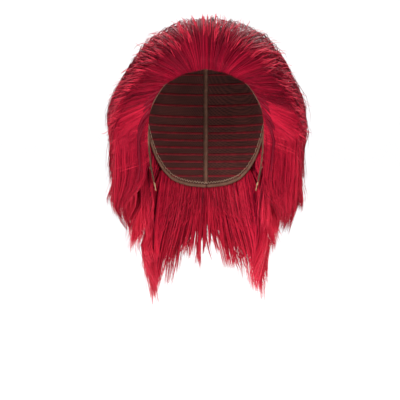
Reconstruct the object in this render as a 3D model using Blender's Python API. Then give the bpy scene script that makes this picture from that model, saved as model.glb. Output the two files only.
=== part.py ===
"""Spiky slicked-back wig: a stretch net cap that carries layers of hair in tapered locks."""

import math
from collections import namedtuple

import bmesh
import bpy
from mathutils import Vector

# The head that the cap fits. Its crown is the origin, its face looks along -Y.
HEAD_HALF_WIDTH = 0.076
HEAD_HALF_DEPTH = 0.097
HEAD_RISE = 0.100  # crown down to the widest level

# Thicknesses and clearances
CAP_WALL = 0.0016
SEAT_GAP = 0.0005  # cap to the root of a layer
BODY_GAP = 0.0012  # what a layer gains on the cap past its root
LAYER_GAP = 0.0032  # one layer to the next
PIECE_GAP = 0.0005  # between pieces that are sewn edge to edge

# Hair
HAIR_DEPTH = 0.050  # greatest depth of hair beside the head
GROOVE_DEPTH = 0.0035  # how far the edge of a lock lies below its ridge
HAIRLINE_DEPTH = 0.0030  # depth of the hair where it leaves the hairline
TIP_FLARE = 0.003  # how far the outermost tips stand off
TIP_REST = 0.85  # where in its layer's depth a tip ends
SWEPT_TIP_REST = 0.6  # the same for locks from the hairline
TIP_SCATTER = 0.16  # how much the levels of neighbouring tips differ, in head rises
SWEEP_SCATTER = 0.064  # the same for locks that leave the hairline, as a share of their length
GROOVE_LIMIT = 0.45  # most that a groove may take of a lock's depth

# Sewn-on parts: azimuths and drift in degrees from the face
TAB_AZIMUTH = 80.0
TAB_WIDTH = 0.016
TAB_LENGTH = 0.034
TAB_WALL = 0.0014
STRAP_AZIMUTH = 104.0
STRAP_DRIFT = 7.0
STRAP_WIDTH = 0.009
STRAP_LENGTH = 0.062
STRAP_WALL = 0.0012
HOOK_LENGTH = 0.012
HOOK_WALL = 0.0010

# How the layers make room for each other, in head rises and degrees
ROOT_LEAD = 0.24
ROOT_RAMP = 0.60
TIP_LEAD = 0.40
TIP_RAMP = 0.50
EDGE_RAMP = 13.0
NO_WEIGHT = 0.001  # weight under which a layer isn't there

CAP_COLUMNS = 36
CAP_ROWS = 9
STRIP_COLUMNS = 4

# A level counts head rises down from the crown, so level 1 is the head's widest.
# Below it, a ring holds shares of the head's half width and half depth.
Ring = namedtuple("Ring", "level width depth back")
HEAD_RINGS = (
    Ring(1.00, 1.00, 1.00, 0.00),
    Ring(1.20, 0.99, 0.99, 0.00),
    Ring(1.40, 0.97, 0.95, 0.01),
    Ring(1.60, 0.93, 0.89, 0.03),
    Ring(1.80, 0.87, 0.81, 0.06),
    Ring(2.00, 0.81, 0.73, 0.09),
    Ring(2.20, 0.77, 0.68, 0.12),
    Ring(2.50, 0.76, 0.66, 0.13),
    Ring(3.50, 0.78, 0.67, 0.13),
)

# Depth of all the hair off the head, as shares of HAIR_DEPTH
Outline = namedtuple("Outline", "level front left right back")
HAIR_OUTLINE = (
    Outline(0.00, 0.60, 0.60, 0.60, 0.60),
    Outline(0.25, 0.54, 0.66, 0.70, 0.68),
    Outline(0.50, 0.34, 0.75, 0.87, 0.84),
    Outline(0.62, 0.18, 0.74, 0.88, 0.88),
    Outline(0.75, 0.12, 0.80, 0.88, 0.92),
    Outline(0.90, 0.10, 0.97, 1.03, 0.96),
    Outline(1.00, 0.10, 1.02, 1.05, 0.98),
    Outline(1.20, 0.10, 0.98, 1.10, 1.00),
    Outline(1.40, 0.10, 0.97, 1.00, 1.04),
    Outline(1.65, 0.10, 1.00, 1.06, 1.12),
    Outline(2.00, 0.10, 1.24, 1.16, 1.26),
    Outline(2.20, 0.12, 1.20, 1.12, 1.26),
    Outline(2.40, 0.18, 0.84, 0.82, 1.14),
    Outline(2.60, 0.22, 0.68, 0.72, 0.94),
    Outline(2.80, 0.22, 0.46, 0.42, 0.80),
    Outline(3.05, 0.20, 0.20, 0.22, 0.62),
    Outline(3.50, 0.16, 0.08, 0.10, 0.40),
)

# Lower edge of the cap: azimuth in degrees from the face, level in head rises
Edge = namedtuple("Edge", "azimuth level")
CAP_EDGE = (
    Edge(0, 0.600),
    Edge(18, 0.625),
    Edge(35, 0.668),
    Edge(46, 0.724),
    Edge(56, 0.805),
    Edge(61, 0.880),
    Edge(66, 0.960),
    Edge(80, 1.000),
    Edge(92, 1.030),
    Edge(104, 1.120),
    Edge(116, 1.420),
    Edge(135, 1.720),
    Edge(155, 1.820),
    Edge(180, 1.850),
)

# Layers that hang round the back, from the innermost out. Share is a layer's part of the
# depth, root its weft row, the two reaches say how near the face it comes, and the last
# four are the levels of its tips.
Layer = namedtuple("Layer", "name share root root_reach tip_reach front left right back locks")
HANGING_LAYERS = (
    Layer("hair_nape", 0.20, 1.62, 128, 42, 2.74, 3.26, 3.14, 2.78, 18),
    Layer("hair_lower", 0.18, 1.24, 112, 66, 2.34, 2.56, 2.50, 2.60, 18),
    Layer("hair_middle", 0.18, 0.93, 95, 80, 2.14, 2.36, 2.34, 2.30, 20),
    Layer("hair_upper", 0.15, 0.63, 90, 96, 1.70, 1.78, 1.82, 1.90, 18),
    Layer("hair_crown", 0.14, 0.33, 88, 100, 1.20, 1.30, 1.36, 1.40, 16),
)
# The outermost layer is rooted along the hairline.
HAIRLINE_LAYER = Layer("hairline", 0.15, -1.0, 0, 0, 2.90, 2.75, 2.85, 0.95, 0)

# The hairline's locks: where a root sends its tip, with a station that bends the way there.
# Azimuths are in degrees from the face, and the front's tips count on round the back.
Sweep = namedtuple("Sweep", "root_azimuth root_level mid_azimuth mid_level tip_azimuth tip_level")
FRONT_SWEEPS = (
    Sweep(-60, 0.855, -88, 0.98, -110, 1.28),
    Sweep(-46, 0.724, -86, 0.74, -124, 0.98),
    Sweep(-23, 0.637, -80, 0.42, -152, 0.68),
    Sweep(0, 0.600, 0, 0.02, -180, 0.54),
    Sweep(23, 0.637, 80, 0.42, -208, 0.68),
    Sweep(46, 0.724, 86, 0.74, -236, 0.98),
    Sweep(60, 0.855, 88, 0.98, -250, 1.28),
)
SIDE_SWEEPS = {
    "left": (
        Sweep(-61, 0.880, -88, 1.05, -110, 1.36),
        Sweep(-64, 0.925, -80, 1.30, -96, 1.86),
        Sweep(-69, 0.970, -71, 1.46, -78, 2.30),
    ),
    "right": (
        Sweep(61, 0.880, 88, 1.05, 110, 1.37),
        Sweep(64, 0.925, 76, 1.28, 96, 1.86),
        Sweep(68, 0.965, 64, 1.46, 78, 2.36),
    ),
}
FRONT_LOCKS = 18
SIDE_LOCKS = 7

# Rows of a lock from root to tip. Locks are one sheet down to the split row.
ROW_SHARES = (0.00, 0.05, 0.16, 0.30, 0.44, 0.57, 0.70, 0.86, 1.00)
SPLIT_ROW = 5
LIFTED_SHARE = 0.30  # where hair from the hairline has reached its full depth
SEATED_SHARE = 0.16  # where a layer has gained its body gap
TAPER_SPEED = 1.5  # powers of the share past the split: how a lock thins,
POINT_SPEED = 2.2  # how it narrows to its point
DRIFT_SPEED = 1.3  # and of the way down: how a hanging lock turns from the face
# Patterns that run on from lock to lock
LOCK_WIDTHS = (1.0, 0.75, 1.2, 0.85, 1.1)
LOCK_LENGTHS = (0.2, -0.9, 0.8, -0.3, 1.0, -0.6, 0.4)
LOCK_SWINGS = (0.3, -0.2, 0.5, -0.4)

# Colour, roughness and metallic value of each finish
Finish = namedtuple("Finish", "colour roughness metallic")
HAIR_RED = Finish((0.42, 0.010, 0.028), 0.38, 0.0)
NET_BROWN = Finish((0.10, 0.035, 0.025), 0.80, 0.0)
TAPE_BEIGE = Finish((0.55, 0.38, 0.25), 0.75, 0.0)
ELASTIC_TAN = Finish((0.32, 0.19, 0.11), 0.70, 0.0)


def clear_scene():
    for obj in list(bpy.data.objects):
        bpy.data.objects.remove(obj, do_unlink=True)


def smooth(share):
    share = min(max(share, 0.0), 1.0)
    return share * share * (3.0 - 2.0 * share)


def mix(start, end, share):
    return start + (end - start) * share


def read_table(rows, key, value):
    """Rows read as one named column against another, straight between two rows."""
    first = getattr(rows[0], key)
    for before, after in zip(rows, rows[1:]):
        first, last = getattr(before, key), getattr(after, key)
        if value <= last:
            share = max((value - first) / (last - first), 0.0)
            return type(before)(*(mix(a, b, share) for a, b in zip(before, after)))
    return rows[-1]


def around(azimuth, row):
    """A row's front, left, right and back values, blended at an azimuth."""
    side = row.right if math.sin(azimuth) > 0 else row.left
    end = row.front if math.cos(azimuth) > 0 else row.back
    return side * math.sin(azimuth) ** 2 + end * math.cos(azimuth) ** 2


def from_face(azimuth):
    """Degrees that an azimuth lies from the face, either way round."""
    return abs((math.degrees(azimuth) + 180.0) % 360.0 - 180.0)


def head_point(azimuth, level, lift):
    """A point at a lift off the head: round its middle above level 1, straight out below."""
    if level <= 1.0:
        polar = level * math.pi / 2
        width = (HEAD_HALF_WIDTH + lift) * math.sin(polar)
        depth = (HEAD_HALF_DEPTH + lift) * math.sin(polar)
        height = (HEAD_RISE + lift) * math.cos(polar) - HEAD_RISE
        back = 0.0
    else:
        ring = read_table(HEAD_RINGS, "level", level)
        width = HEAD_HALF_WIDTH * ring.width + lift
        depth = HEAD_HALF_DEPTH * ring.depth + lift
        height = -HEAD_RISE * level
        back = HEAD_HALF_DEPTH * ring.back
    return Vector((width * math.sin(azimuth), back - depth * math.cos(azimuth), height))


def station_of(point):
    """Azimuth and level of the ray that a point lies on."""
    if point.z > -HEAD_RISE:
        across = Vector((point.x / HEAD_HALF_WIDTH, point.y / HEAD_HALF_DEPTH))
        polar = math.atan2(across.length, point.z / HEAD_RISE + 1.0)
        return math.atan2(across.x, -across.y), polar / (math.pi / 2)
    level = -point.z / HEAD_RISE
    ring = read_table(HEAD_RINGS, "level", level)
    across = Vector((point.x / ring.width / HEAD_HALF_WIDTH,
                     (point.y / HEAD_HALF_DEPTH - ring.back) / ring.depth))
    return math.atan2(across.x, -across.y), level


def bend(root, middle, tip, share):
    """Station at a share of the way along a bent path over the head."""
    a, b, c = (head_point(*station, 0.0) for station in (root, middle, tip))
    return station_of(a.lerp(b, share).lerp(b.lerp(c, share), share))


def layer_weight(layer, azimuth, level):
    """How much of the hair's depth a layer asks for at a station."""
    opened = smooth((level - layer.root + ROOT_LEAD) / ROOT_RAMP)
    tips = around(azimuth, layer)
    closed = smooth((level - tips + TIP_LEAD) / TIP_RAMP)
    if layer is HANGING_LAYERS[0]:
        closed = 0.0
    down = min(max((level - layer.root) / (layer.left - layer.root), 0.0), 1.0)
    reach = mix(layer.root_reach, layer.tip_reach, down)
    beside = smooth((from_face(azimuth) - reach + EDGE_RAMP) / EDGE_RAMP) if reach else 1.0
    return layer.share * opened * (1.0 - closed) * beside


def layer_lifts(layer, azimuth, level):
    """Inner and outer lift of a layer: the layers share the depth out, innermost first."""
    weights = [layer_weight(other, azimuth, level) for other in HANGING_LAYERS + (HAIRLINE_LAYER,)]
    names = [other.name for other in HANGING_LAYERS + (HAIRLINE_LAYER,)]
    place = names.index(layer.name)
    seat = CAP_WALL + SEAT_GAP
    depth = HAIR_DEPTH * around(azimuth, read_table(HAIR_OUTLINE, "level", level)) - seat
    total = max(sum(weights), NO_WEIGHT)
    inner = depth * sum(weights[:place]) / total
    outer = depth * sum(weights[:place + 1]) / total
    if sum(weights[place + 1:]) > NO_WEIGHT:
        outer -= LAYER_GAP
    return seat + inner, seat + max(outer, inner + LAYER_GAP / 2)


def lock_lanes(count):
    """Left edge, middle, right edge, length and swing of each lock in a row of locks."""
    widths = [LOCK_WIDTHS[i % len(LOCK_WIDTHS)] for i in range(count)]
    lanes = []
    start = 0.0
    for i, width in enumerate(widths):
        end = start + width / sum(widths)
        length = LOCK_LENGTHS[i % len(LOCK_LENGTHS)]
        swing = LOCK_SWINGS[i % len(LOCK_SWINGS)] * (end - start) / 2
        lanes.append((start, (start + end) / 2, end, length, swing))
        start = end
    return lanes


def comb_of_locks(name, layer, path, count, rest, flare):
    """A root band that runs out into tapered locks, as one closed body.

    path takes a share across the band, a share along the lock and the lock's length. Rest is
    where in the layer's depth the tips end, and flare how far they stand off from there.
    """
    mesh = bmesh.new()
    last = len(ROW_SHARES) - 1

    def place(across, row, length, edge, taper):
        """Outer and inner point of the band, or of a lock."""
        azimuth, level = path(across, ROW_SHARES[row], length)
        inner, outer = layer_lifts(layer, azimuth, level)
        if layer is HAIRLINE_LAYER:
            rise = smooth(ROW_SHARES[row] / LIFTED_SHARE)
            outer = mix(min(outer, inner + HAIRLINE_DEPTH), outer, rise)
        inner += BODY_GAP * smooth(ROW_SHARES[row] / SEATED_SHARE)
        outer = max(outer, inner + LAYER_GAP / 2)
        tip = mix(inner, outer, rest) + flare
        if edge and row:
            outer -= min(GROOVE_DEPTH, GROOVE_LIMIT * (outer - inner))
        return (head_point(azimuth, level, mix(outer, tip, taper)),
                head_point(azimuth, level, mix(inner, tip, taper)))

    def add(points):
        return [mesh.verts.new(point) for point in points]

    shared = {}
    lanes = lock_lanes(count)
    for lane, (left, middle, right, length, swing) in enumerate(lanes):
        columns = []
        for row in range(last):
            if row <= SPLIT_ROW:
                across, taper, drift = (left, middle, right), 0.0, 0.0
            else:
                down = (row - SPLIT_ROW) / (last - SPLIT_ROW)
                taper, drift = down ** TAPER_SPEED, swing * down * down
                half = (right - left) / 2 * (1.0 - down ** POINT_SPEED)
                across = (middle - half, middle, middle + half)
            cells = []
            for side, where in enumerate(across):
                key = (lane + side // 2, row)
                if side != 1 and row <= SPLIT_ROW:
                    if key not in shared:
                        shared[key] = add(place(where, row, 0.0, True, 0.0))
                    cells.append(shared[key])
                else:
                    reach = length * smooth(max(row - SPLIT_ROW, 0) / (last - SPLIT_ROW))
                    cells.append(add(place(where + drift, row, reach, side != 1, taper)))
            columns.append(cells)
        azimuth, level = path(middle + swing, 1.0, length)
        inner, outer = layer_lifts(layer, azimuth, level)
        tip = mesh.verts.new(head_point(azimuth, level, mix(inner, outer, rest) + flare))

        for row, (above, below) in enumerate(zip(columns, columns[1:])):
            for face in (0, 1):
                for side in (0, 1):
                    mesh.faces.new((above[side][face], above[side + 1][face],
                                    below[side + 1][face], below[side][face]))
            for side, outside in ((0, lane == 0), (2, lane == count - 1)):
                if outside or row >= SPLIT_ROW:
                    mesh.faces.new((above[side][0], above[side][1], below[side][1], below[side][0]))
        for face in (0, 1):
            for side in (0, 1):
                mesh.faces.new((columns[-1][side][face], columns[-1][side + 1][face], tip))
        for side in (0, 2):
            mesh.faces.new((columns[-1][side][0], columns[-1][side][1], tip))
        for side in (0, 1):
            mesh.faces.new((columns[0][side][0], columns[0][side + 1][0],
                            columns[0][side + 1][1], columns[0][side][1]))
    bmesh.ops.recalc_face_normals(mesh, faces=mesh.faces)
    return add_object(name, mesh, HAIR_RED)


def add_object(name, mesh, finish):
    data = bpy.data.meshes.new(name)
    mesh.to_mesh(data)
    mesh.free()
    obj = bpy.data.objects.new(name, data)
    bpy.context.collection.objects.link(obj)
    data.materials.append(finish_material(name, finish))
    data.shade_smooth()
    return obj


def finish_material(name, finish):
    material = bpy.data.materials.new(name + "_finish")
    material.use_nodes = True
    shader = material.node_tree.nodes["Principled BSDF"]
    shader.inputs["Base Color"].default_value = (*finish.colour, 1.0)
    shader.inputs["Roughness"].default_value = finish.roughness
    shader.inputs["Metallic"].default_value = finish.metallic
    return material


def hanging_path(layer):
    """Paths of a layer that hangs from a weft row round the back."""
    def path(across, share, length):
        root = mix(layer.root_reach, 360.0 - layer.root_reach, across)
        tip = mix(layer.tip_reach, 360.0 - layer.tip_reach, across)
        end = around(math.radians(tip), layer)
        level = mix(layer.root, end + length * TIP_SCATTER, share)
        down = (level - layer.root) / (end - layer.root)
        return math.radians(mix(root, tip, down ** DRIFT_SPEED)), level
    return path


def swept_path(sweeps):
    """Paths of locks that leave the hairline as a table of sweeps says."""
    def path(across, share, length):
        place = across * (len(sweeps) - 1)
        before = min(int(place), len(sweeps) - 2)
        sweep = [mix(a, b, place - before) for a, b in zip(sweeps[before], sweeps[before + 1])]
        sweep = Sweep(*sweep)
        root = math.radians(sweep.root_azimuth), sweep.root_level
        middle = math.radians(sweep.mid_azimuth), sweep.mid_level
        tip = math.radians(sweep.tip_azimuth), sweep.tip_level
        return bend(root, middle, tip, share * (1.0 + length * SWEEP_SCATTER))
    return path


def solid_sheet(name, rows, wall, finish, closed=False):
    """A sheet through rows of points, thickened outwards to a wall."""
    mesh = bmesh.new()
    grid = [[mesh.verts.new(point) for point in row] for row in rows]
    for above, below in zip(grid, grid[1:]):
        count = len(above) if closed else len(above) - 1
        for i in range(count):
            after = (i + 1) % len(above)
            mesh.faces.new((above[i], above[after], below[after], below[i]))
    if closed:
        crown = mesh.verts.new(head_point(0.0, 0.0, 0.0))
        for i, vertex in enumerate(grid[0]):
            mesh.faces.new((crown, grid[0][(i + 1) % len(grid[0])], vertex))
    bmesh.ops.recalc_face_normals(mesh, faces=mesh.faces)
    first = mesh.faces[:][0]
    middle = Vector((0.0, 0.0, first.calc_center_median().z))
    if first.normal.dot(first.calc_center_median() - middle) < 0:
        bmesh.ops.reverse_faces(mesh, faces=mesh.faces)
    obj = add_object(name, mesh, finish)
    thicken = obj.modifiers.new("wall", "SOLIDIFY")
    thicken.thickness = wall
    thicken.offset = 1.0
    return obj


def cap_edge(azimuth):
    """Level of the cap's lower edge, straight from one column of its mesh to the next."""
    column = math.degrees(azimuth) / (360.0 / CAP_COLUMNS)
    before = math.floor(column)
    levels = []
    for place in (before, before + 1):
        degrees = from_face(place * 2.0 * math.pi / CAP_COLUMNS)
        levels.append(read_table(CAP_EDGE, "azimuth", degrees).level)
    return mix(*levels, column - before)


def build_cap():
    rows = []
    for row in range(1, CAP_ROWS + 1):
        ring = []
        for column in range(CAP_COLUMNS):
            azimuth = 2.0 * math.pi * column / CAP_COLUMNS
            ring.append(head_point(azimuth, cap_edge(azimuth) * row / CAP_ROWS, 0.0))
        rows.append(ring)
    return solid_sheet("cap", rows, CAP_WALL, NET_BROWN, closed=True)


def strip_rows(azimuth, top, end, width, drift, point, count):
    """Rows of a strip on the head's surface, from the levels of its top to the level of its end.

    It drifts round the head on its way down and narrows by its point.
    """
    rows = []
    for row in range(count + 1):
        share = row / count
        half = width / 2 * (1.0 - point * share ** 3)
        ring = []
        for column in range(STRIP_COLUMNS + 1):
            side = 2.0 * column / STRIP_COLUMNS - 1.0
            across = azimuth + side * half / HEAD_HALF_DEPTH
            ring.append(head_point(across + drift * share, mix(top(across), end, share), 0.0))
        rows.append(ring)
    return rows


def build_sewn_parts():
    gap = PIECE_GAP / HEAD_RISE

    def below_cap(azimuth):
        return cap_edge(azimuth) + gap

    for side, name in ((-1, "left"), (1, "right")):
        azimuth = side * math.radians(TAB_AZIMUTH)
        end = cap_edge(azimuth) + TAB_LENGTH / HEAD_RISE
        rows = strip_rows(azimuth, below_cap, end, TAB_WIDTH, 0.0, 0.5, 6)
        solid_sheet("ear_tab_" + name, rows, TAB_WALL, TAPE_BEIGE)

        azimuth = side * math.radians(STRAP_AZIMUTH)
        drift = -side * math.radians(STRAP_DRIFT)
        end = cap_edge(azimuth) + STRAP_LENGTH / HEAD_RISE
        rows = strip_rows(azimuth, below_cap, end, STRAP_WIDTH, drift, 0.0, 6)
        solid_sheet("nape_strap_" + name, rows, STRAP_WALL, ELASTIC_TAN)

        hook_end = end + gap + HOOK_LENGTH / HEAD_RISE
        rows = strip_rows(azimuth + drift, lambda across: end + gap, hook_end, STRAP_WIDTH, 0.0, 0.5, 3)
        solid_sheet("strap_hook_" + name, rows, HOOK_WALL, TAPE_BEIGE)


def build_hair():
    for layer in HANGING_LAYERS:
        comb_of_locks(layer.name, layer, hanging_path(layer), layer.locks, TIP_REST, 0.0)
    swept = [("hair_front", FRONT_SWEEPS, FRONT_LOCKS)]
    swept += [("side_lock_" + side, sweeps, SIDE_LOCKS) for side, sweeps in SIDE_SWEEPS.items()]
    for name, sweeps, count in swept:
        comb_of_locks(name, HAIRLINE_LAYER, swept_path(sweeps), count, SWEPT_TIP_REST, TIP_FLARE)


clear_scene()
build_cap()
build_sewn_parts()
build_hair()
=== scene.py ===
import math

import bpy
import numpy as np
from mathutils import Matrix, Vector


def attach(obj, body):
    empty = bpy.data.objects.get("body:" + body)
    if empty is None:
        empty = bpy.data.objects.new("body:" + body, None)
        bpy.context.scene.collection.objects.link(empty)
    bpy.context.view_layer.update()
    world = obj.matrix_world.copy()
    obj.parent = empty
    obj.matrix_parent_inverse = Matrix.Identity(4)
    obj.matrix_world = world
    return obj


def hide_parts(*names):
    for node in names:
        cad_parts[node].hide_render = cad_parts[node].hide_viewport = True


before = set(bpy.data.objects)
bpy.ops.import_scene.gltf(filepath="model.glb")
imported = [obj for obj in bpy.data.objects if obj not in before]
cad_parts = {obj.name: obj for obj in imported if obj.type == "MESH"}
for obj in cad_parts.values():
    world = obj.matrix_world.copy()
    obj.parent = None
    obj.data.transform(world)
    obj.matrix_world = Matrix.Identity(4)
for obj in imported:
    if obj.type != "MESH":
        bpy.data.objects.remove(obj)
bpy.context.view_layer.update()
print("frame loaded:", len(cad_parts), "nodes")


def deselectAll():
    for obj in bpy.context.selected_objects:
        obj.select_set(False)


class Socket:
    # wraps a socket, so that sums on values add their Math nodes
    def __init__(self, tree, socket):
        self.tree = tree
        self.socket = socket

    def node(self, kind, settings, inputs, output=0):
        made = self.tree.nodes.new(kind)
        for name, value in settings.items():
            if name == "stops":
                fillRamp(made.color_ramp, value)
            else:
                setattr(made, name, value)
        for name, value in inputs.items():
            feed(self.tree, made.inputs[name], value)
        return Socket(self.tree, made.outputs[output])

    def math(self, operation, first, second):
        return self.node("ShaderNodeMath", {"operation": operation}, {0: first, 1: second})

    def __add__(self, other):
        return self.math("ADD", self, other)

    def __radd__(self, other):
        return self.math("ADD", other, self)

    def __sub__(self, other):
        return self.math("SUBTRACT", self, other)

    def __rsub__(self, other):
        return self.math("SUBTRACT", other, self)

    def __mul__(self, other):
        return self.math("MULTIPLY", self, other)

    def __rmul__(self, other):
        return self.math("MULTIPLY", other, self)

    def __pow__(self, other):
        return self.math("POWER", self, other)

    def noise(self, scale):
        return self.node("ShaderNodeTexNoise", {}, {"Vector": self, "Scale": scale})

    def wave(self, axis, scale):
        settings = {"wave_type": "BANDS", "bands_direction": axis, "wave_profile": "SIN"}
        return self.node("ShaderNodeTexWave", settings, {"Vector": self, "Scale": scale}, "Fac")

    def colours(self, *stops):
        return self.node("ShaderNodeValToRGB", {"stops": stops}, {"Fac": self})

    def blend(self, factor, other, kind="MIX"):
        settings = {"data_type": "RGBA", "blend_type": kind}
        return self.node("ShaderNodeMix", settings, {0: factor, 6: self, 7: other}, 2)

    def bump(self, strength, distance):
        inputs = {"Height": self, "Strength": strength, "Distance": distance}
        return self.node("ShaderNodeBump", {}, inputs, "Normal")


def feed(tree, socket, value):
    if isinstance(value, Socket):
        tree.links.new(value.socket, socket)
    elif isinstance(value, tuple) and len(value) == 3 and len(socket.default_value) == 4:
        socket.default_value = (*value, 1.0)
    else:
        socket.default_value = value


def fillRamp(ramp, stops):
    while len(ramp.elements) < len(stops):
        ramp.elements.new(1.0)
    for element, (place, colour) in zip(ramp.elements, stops):
        element.position = place
        element.color = (*colour, 1.0)


def newFinish(name, **constants):
    # a material with its fixed values set on the shader, and its Object coordinates
    material = bpy.data.materials.new(name)
    material.use_nodes = True
    tree = material.node_tree
    shader = tree.nodes["Principled BSDF"]
    for label, value in constants.items():
        shader.inputs[label.replace("_", " ")].default_value = value
    place = Socket(tree, tree.nodes.new("ShaderNodeTexCoord").outputs["Object"])
    return material, shader, place


def addPiece(piece, finish, node=None):
    # gives a piece its finish and its material slot, and hides the node that it stands for
    piece.data.materials.append(finish)
    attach(piece, "root")
    if node:
        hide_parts(node)


# the form that the hair lies round, in metres: a level counts its rises down from the crown
head = {
    "halfWidth": 0.076,
    "halfDepth": 0.097,
    "rise": 0.100,
    "seat": 0.0021,  # the cap's wall and the gap on it
    "hairDepth": 0.050,
    "layerGap": 0.0032,
    "bodyGap": 0.0012,
    "tipScatter": 0.16,
    "opening": (0.24, 0.60),  # a layer starts so far over its roots, and is full after so long
    "closing": (0.40, 0.50),  # the same over its tips
    "sideFade": 13.0,  # degrees
    "leastShare": 0.001,
    "sweepScatter": 0.4,  # of the scatter of hanging tips
    # level, width, depth, back
    "rings": [
        (1.00, 1.00, 1.00, 0.00), (1.20, 0.99, 0.99, 0.00), (1.40, 0.97, 0.95, 0.01),
        (1.60, 0.93, 0.89, 0.03), (1.80, 0.87, 0.81, 0.06), (2.00, 0.81, 0.73, 0.09),
        (2.20, 0.77, 0.68, 0.12), (2.50, 0.76, 0.66, 0.13), (3.50, 0.78, 0.67, 0.13),
    ],
    # level, front, left, right, back, as shares of the hair's depth
    "outline": [
        (0.00, 0.60, 0.60, 0.60, 0.60), (0.25, 0.54, 0.66, 0.70, 0.68),
        (0.50, 0.34, 0.75, 0.87, 0.84), (0.62, 0.18, 0.74, 0.88, 0.88),
        (0.75, 0.12, 0.80, 0.88, 0.92), (0.90, 0.10, 0.97, 1.03, 0.96),
        (1.00, 0.10, 1.02, 1.05, 0.98), (1.20, 0.10, 0.98, 1.10, 1.00),
        (1.40, 0.10, 0.97, 1.00, 1.04), (1.65, 0.10, 1.00, 1.06, 1.12),
        (2.00, 0.10, 1.24, 1.16, 1.26), (2.20, 0.12, 1.20, 1.12, 1.26),
        (2.40, 0.18, 0.94, 0.92, 1.14), (2.60, 0.22, 0.72, 0.76, 0.94),
        (2.80, 0.22, 0.46, 0.42, 0.80), (3.05, 0.20, 0.20, 0.22, 0.62),
        (3.50, 0.16, 0.08, 0.10, 0.40),
    ],
}
# share, root level, root reach, tip reach, then tip levels at front, left, right and back
layers = [
    (0.20, 1.62, 128, 42, 2.74, 3.26, 3.14, 2.78),
    (0.18, 1.24, 112, 66, 2.34, 2.56, 2.50, 2.60),
    (0.18, 0.93, 95, 80, 2.14, 2.36, 2.34, 2.30),
    (0.15, 0.63, 90, 96, 1.70, 1.78, 1.82, 1.90),
    (0.14, 0.33, 88, 100, 1.20, 1.30, 1.36, 1.40),
    (0.15, -1.0, 0, 0, 2.90, 2.75, 2.85, 0.95),
]
hairline = len(layers) - 1
rings = np.array(head["rings"])
outline = np.array(head["outline"])


def smooth(share):
    share = np.clip(share, 0.0, 1.0)
    return share * share * (3.0 - 2.0 * share)


def mix(start, end, share):
    return start + (end - start) * share


def around(azimuth, front, left, right, back):
    side = np.where(np.sin(azimuth) > 0, right, left)
    end = np.where(np.cos(azimuth) > 0, front, back)
    return side * np.sin(azimuth) ** 2 + end * np.cos(azimuth) ** 2


def fromFace(azimuth):
    return np.abs((np.degrees(azimuth) + 180.0) % 360.0 - 180.0)


def headPoint(azimuth, level, lift):
    azimuth, level, lift = np.broadcast_arrays(azimuth, level, lift)
    polar = np.clip(level, 0.0, 1.0) * math.pi / 2
    wide, deep, back = (np.interp(level, rings[:, 0], rings[:, i]) for i in (1, 2, 3))
    low = level > 1.0
    width = np.where(low, head["halfWidth"] * wide + lift, (head["halfWidth"] + lift) * np.sin(polar))
    depth = np.where(low, head["halfDepth"] * deep + lift, (head["halfDepth"] + lift) * np.sin(polar))
    height = np.where(low, -head["rise"] * level, (head["rise"] + lift) * np.cos(polar) - head["rise"])
    y = np.where(low, head["halfDepth"] * back, 0.0) - depth * np.cos(azimuth)
    return np.stack([width * np.sin(azimuth), y, height], axis=-1)


def stationOf(point):
    x, y, z = point[..., 0], point[..., 1], point[..., 2]
    level = -z / head["rise"]
    wide, deep, back = (np.interp(level, rings[:, 0], rings[:, i]) for i in (1, 2, 3))
    over = level < 1.0
    acrossX = np.where(over, x / head["halfWidth"], x / wide / head["halfWidth"])
    acrossY = np.where(over, y / head["halfDepth"], (y / head["halfDepth"] - back) / deep)
    polar = np.arctan2(np.hypot(acrossX, acrossY), z / head["rise"] + 1.0)
    return np.arctan2(acrossX, -acrossY), np.where(over, polar / (math.pi / 2), level)


def layerWeight(place, azimuth, level):
    share, root, rootReach, tipReach, front, left, right, back = layers[place]
    over, run = head["opening"]
    opened = smooth((level - root + over) / run)
    over, run = head["closing"]
    closed = smooth((level - around(azimuth, front, left, right, back) + over) / run)
    down = np.clip((level - root) / (left - root), 0.0, 1.0)
    beside = smooth((fromFace(azimuth) - mix(rootReach, tipReach, down)) / head["sideFade"] + 1.0)
    if place == 0:
        closed = 0.0
    if place == hairline:
        beside = 1.0
    return share * opened * (1.0 - closed) * beside


def layerLifts(place, azimuth, level):
    weights = np.array([layerWeight(i, azimuth, level) for i in range(len(layers))])
    depth = around(azimuth, *(np.interp(level, outline[:, 0], outline[:, i]) for i in (1, 2, 3, 4)))
    depth = head["hairDepth"] * depth - head["seat"]
    total = np.maximum(weights.sum(axis=0), head["leastShare"])
    inner = depth * weights[:place].sum(axis=0) / total
    outer = depth * weights[:place + 1].sum(axis=0) / total
    outer = outer - head["layerGap"] * (weights[place + 1:].sum(axis=0) > head["leastShare"])
    return head["seat"] + inner, head["seat"] + np.maximum(outer, inner + head["layerGap"] / 2)


def hangingPath(place, lead=0.0):
    rootLevel, rootReach, tipReach, front, left, right, back = layers[place][1:]

    def path(across, along, reach):
        root = mix(rootReach, 360.0 - rootReach, across)
        tip = mix(tipReach, 360.0 - tipReach, across)
        end = around(np.radians(tip), front, left, right, back)
        level = mix(rootLevel - lead, end + reach * head["tipScatter"], along)
        down = np.clip((level - rootLevel + lead) / (end - rootLevel + lead), 0.0, 2.0)
        return np.radians(mix(root, tip, down ** 1.3)), level
    return path


def sweptPath(sweeps):
    table = np.array(sweeps)

    def path(across, along, reach):
        place = np.clip(across, 0.0, 1.0) * (len(table) - 1)
        row = [np.interp(place, np.arange(len(table)), table[:, i]) for i in range(6)]
        a, b, c = (headPoint(np.radians(row[i]), row[i + 1], 0.0) for i in (0, 2, 4))
        scatter = head["sweepScatter"] * head["tipScatter"] * reach
        share = (along * (1.0 + scatter))[..., None]
        return stationOf(mix(mix(a, b, share), mix(b, c, share), share))
    return path


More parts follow.
